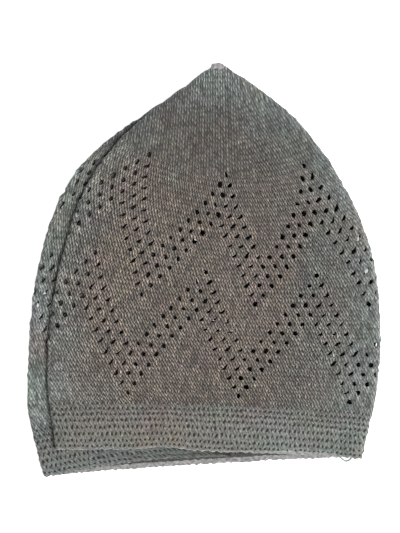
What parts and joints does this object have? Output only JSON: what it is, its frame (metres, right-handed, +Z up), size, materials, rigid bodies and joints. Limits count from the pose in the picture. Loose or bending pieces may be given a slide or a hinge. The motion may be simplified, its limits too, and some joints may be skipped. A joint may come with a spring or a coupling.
{
  "type": "knitted skull cap lying folded flat",
  "caption": "Soft knitted skull cap with openwork zigzags, folded flat with one pleat and an open rim, to lie on a shelf or table.",
  "frame": {"origin": "centre of the bounding box, on the surface that the folded cap lies on", "axes": "+Y towards the cap's tip, the rim's mouth towards -Y, +X to the right of the front layer, +Z up"},
  "size_m": [0.1764, 0.208, 0.0097],
  "materials": {
    "band_knit": "grey melange cotton in tuck stitch, matt",
    "crown_knit": "grey-brown melange cotton in fine plain knit with eyelets, matt",
    "knot_yarn": "pale grey gathered cotton yarn, matt"
  },
  "bodies": {
    "root": {"band": "band_knit", "crown": "crown_knit", "tip_knot": "knot_yarn"}
  },
  "joints": []
}
